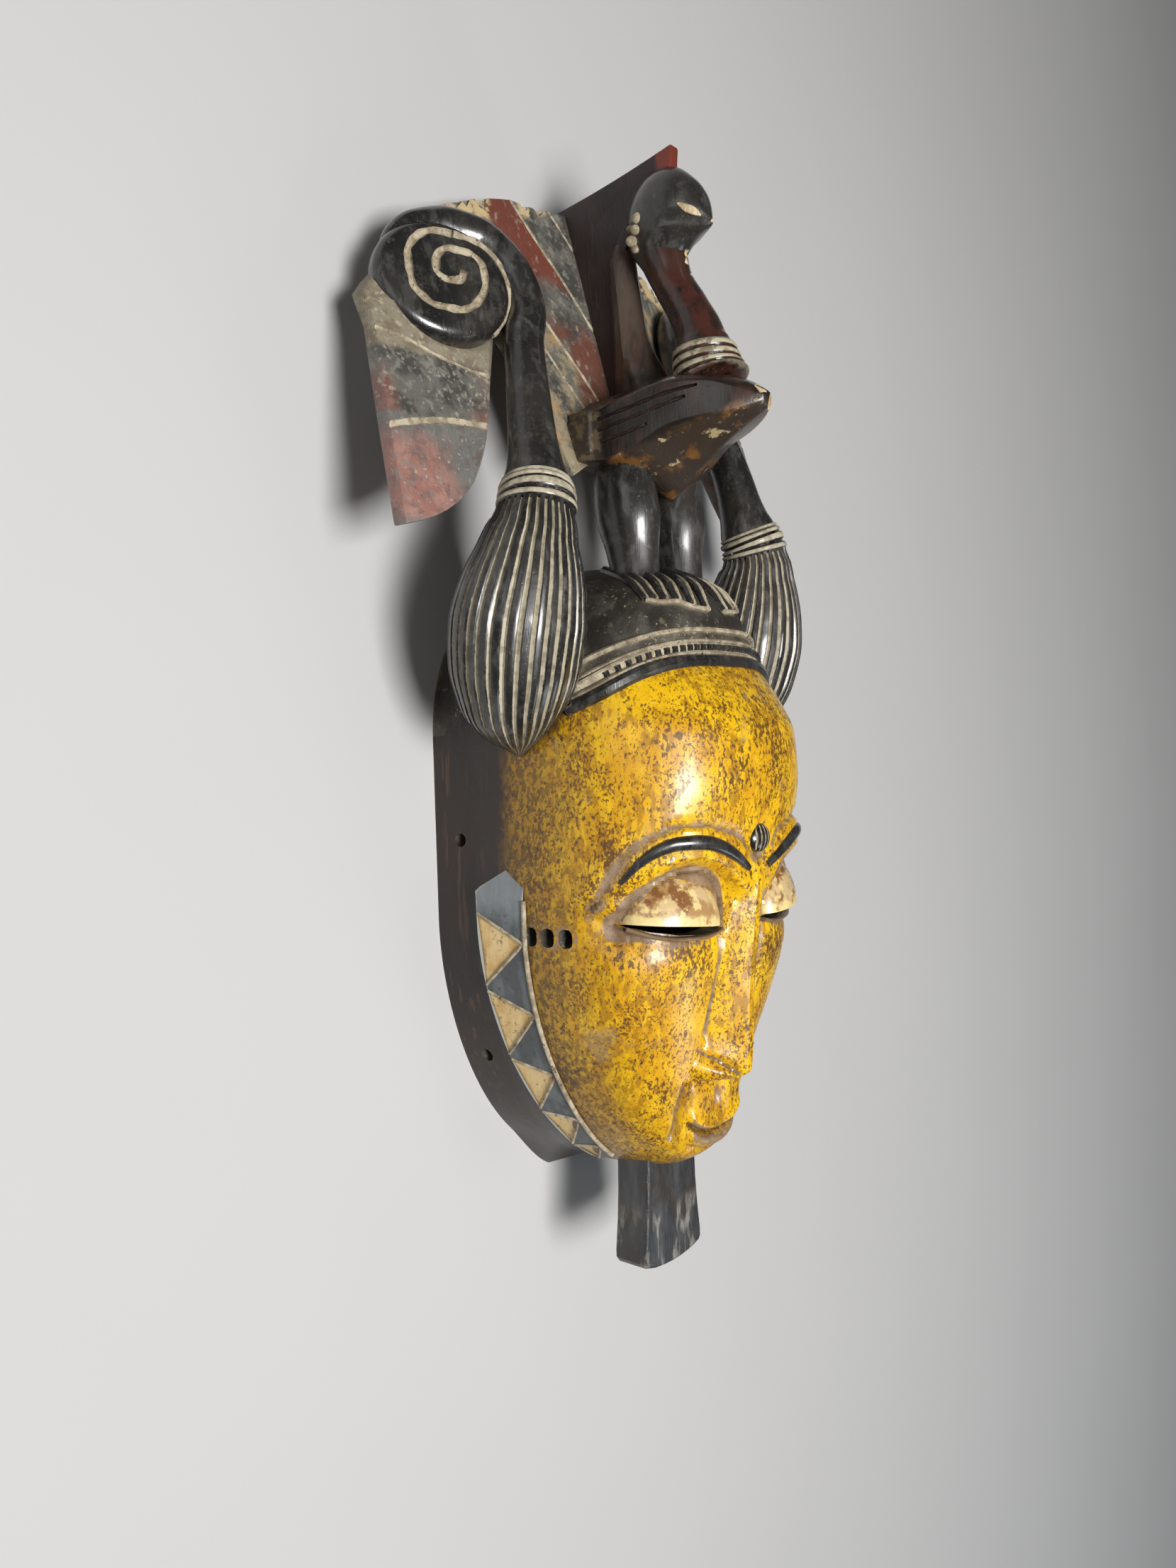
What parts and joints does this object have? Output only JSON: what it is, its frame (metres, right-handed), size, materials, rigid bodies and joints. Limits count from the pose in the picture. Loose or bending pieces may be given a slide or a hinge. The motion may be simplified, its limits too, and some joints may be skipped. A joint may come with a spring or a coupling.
{
  "type": "yaure mask",
  "caption": "Carved and painted wooden face mask with ribbed horn-like tresses ending in spirals, a toothed jaw collar and a perched bird with spread wings above the brow.",
  "frame": {"origin": "bottom centre of the bounding box: middle of the width and of the length, on the plane of the flat back", "axes": "+Y from the chin peg up to the bird's crest, +X to the viewer's right, +Z out of the face"},
  "size_m": [0.236, 0.438, 0.114],
  "materials": {
    "painted_wood": "satin, ochre yellow and black paint over carved wood, worn"
  },
  "bodies": {
    "root": {"mask": "painted_wood"}
  },
  "joints": []
}
